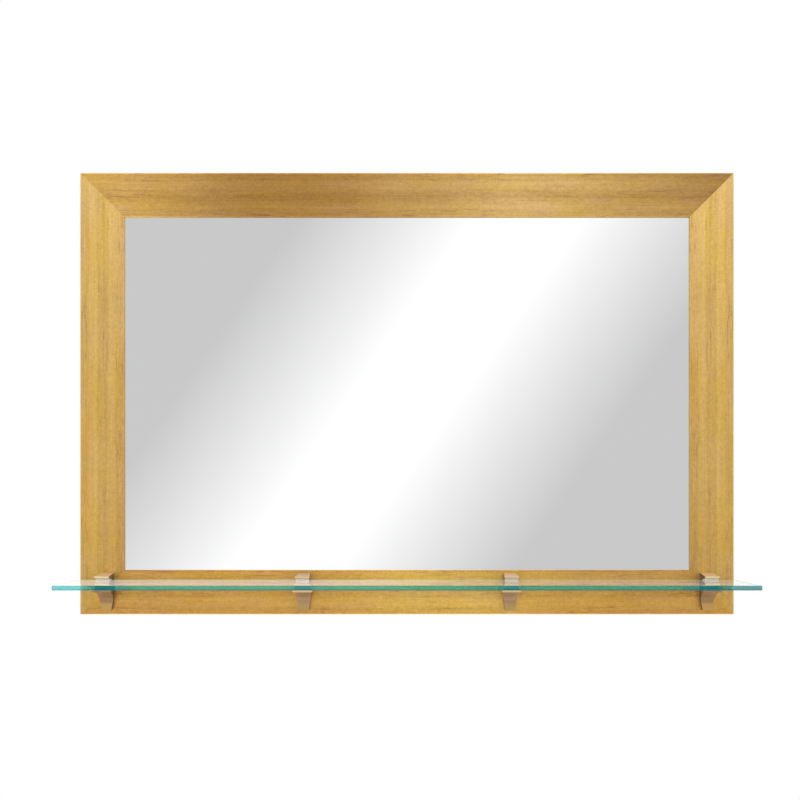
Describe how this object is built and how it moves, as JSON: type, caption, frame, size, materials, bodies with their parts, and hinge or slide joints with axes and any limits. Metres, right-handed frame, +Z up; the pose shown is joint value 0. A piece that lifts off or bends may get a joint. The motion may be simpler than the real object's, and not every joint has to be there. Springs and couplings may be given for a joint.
{
  "type": "mirror with shelf",
  "caption": "Wide horizontal wall mirror in a mitred gold moulding, with a clear glass shelf held by clamp brackets along its bottom rail.",
  "frame": {"origin": "on the wall plane, behind the middle of the frame", "axes": "+X to the right as seen from the front, +Y into the wall, +Z up; the mirror faces -Y"},
  "size_m": [0.94, 0.1635, 0.635],
  "materials": {
    "gold_moulding": "brushed gold foil over a wood-fibre core, fine streaks along each length",
    "silvered_glass": "polished float glass, silvered behind",
    "shelf_glass": "clear tempered float glass with polished green edges",
    "champagne_plate": "satin champagne-gold plating on a casting",
    "clear_pad": "milky soft plastic",
    "bright_steel": "bright",
    "zinc_plate": "zinc plated",
    "plain_steel": "plain rolled",
    "hardboard": "smooth hardboard",
    "bumper_rubber": "matt black"
  },
  "bodies": {
    "frame": {"rail_top": "gold_moulding", "rail_bottom": "gold_moulding", "stile_left": "gold_moulding", "stile_right": "gold_moulding", "corner_nails": "plain_steel", "mirror_glass": "silvered_glass", "backing_board": "hardboard", "glazing_points": "plain_steel", "wall_bumpers": "bumper_rubber", "hanger_strap_left": "zinc_plate", "hanger_strap_right": "zinc_plate", "hanger_screws": "zinc_plate", "bracket_screws": "zinc_plate", "bracket_body_1": "champagne_plate", "bracket_body_2": "champagne_plate", "bracket_body_3": "champagne_plate", "bracket_body_4": "champagne_plate", "lower_pad_1": "clear_pad", "lower_pad_2": "clear_pad", "lower_pad_3": "clear_pad", "lower_pad_4": "clear_pad"},
    "shelf": {"glass_shelf": "shelf_glass"},
    "ring_left": {"hanger_ring_left": "zinc_plate"},
    "ring_right": {"hanger_ring_right": "zinc_plate"},
    "jaw_1": {"bracket_jaw_1": "champagne_plate", "upper_pad_1": "clear_pad"},
    "clamp_screw_1": {"clamp_screw_1": "bright_steel"},
    "jaw_2": {"bracket_jaw_2": "champagne_plate", "upper_pad_2": "clear_pad"},
    "clamp_screw_2": {"clamp_screw_2": "bright_steel"},
    "jaw_3": {"bracket_jaw_3": "champagne_plate", "upper_pad_3": "clear_pad"},
    "clamp_screw_3": {"clamp_screw_3": "bright_steel"},
    "jaw_4": {"bracket_jaw_4": "champagne_plate", "upper_pad_4": "clear_pad"},
    "clamp_screw_4": {"clamp_screw_4": "bright_steel"}
  },
  "joints": [
    {"name": "shelf_slide", "type": "slide", "parent": "frame", "child": "shelf", "axis": [0, -1, 0], "range_m": [0, 0.0265]},
    {"name": "ring_left_swing", "type": "hinge", "parent": "frame", "child": "ring_left", "pos_m": [-0.43825, -0.00375, 0.1875], "axis": [-1, 0, 0], "range_deg": [0, 150]},
    {"name": "ring_right_swing", "type": "hinge", "parent": "frame", "child": "ring_right", "pos_m": [0.43825, -0.00375, 0.1875], "axis": [-1, 0, 0], "range_deg": [0, 150]},
    {"name": "clamp_screw_1_turn", "type": "hinge", "parent": "frame", "child": "clamp_screw_1", "pos_m": [-0.43, -0.0326, -0.30685], "axis": [0, 0, -1], "range_deg": [0, 2880]},
    {"name": "jaw_1_lift", "type": "slide", "parent": "frame", "child": "jaw_1", "axis": [0, 0, 1], "range_m": [0, 0.004]},
    {"name": "clamp_screw_2_turn", "type": "hinge", "parent": "frame", "child": "clamp_screw_2", "pos_m": [-0.1475, -0.0326, -0.30685], "axis": [0, 0, -1], "range_deg": [0, 2880]},
    {"name": "jaw_2_lift", "type": "slide", "parent": "frame", "child": "jaw_2", "axis": [0, 0, 1], "range_m": [0, 0.004]},
    {"name": "clamp_screw_3_turn", "type": "hinge", "parent": "frame", "child": "clamp_screw_3", "pos_m": [0.1475, -0.0326, -0.30685], "axis": [0, 0, -1], "range_deg": [0, 2880]},
    {"name": "jaw_3_lift", "type": "slide", "parent": "frame", "child": "jaw_3", "axis": [0, 0, 1], "range_m": [0, 0.004]},
    {"name": "clamp_screw_4_turn", "type": "hinge", "parent": "frame", "child": "clamp_screw_4", "pos_m": [0.43, -0.0326, -0.30685], "axis": [0, 0, -1], "range_deg": [0, 2880]},
    {"name": "jaw_4_lift", "type": "slide", "parent": "frame", "child": "jaw_4", "axis": [0, 0, 1], "range_m": [0, 0.004]}
  ],
  "couplings": [
    {"joint": "clamp_screw_1_turn", "follows": "jaw_1_lift", "rad_per_m": 12566},
    {"joint": "clamp_screw_2_turn", "follows": "jaw_2_lift", "rad_per_m": 12566},
    {"joint": "clamp_screw_3_turn", "follows": "jaw_3_lift", "rad_per_m": 12566},
    {"joint": "clamp_screw_4_turn", "follows": "jaw_4_lift", "rad_per_m": 12566}
  ]
}
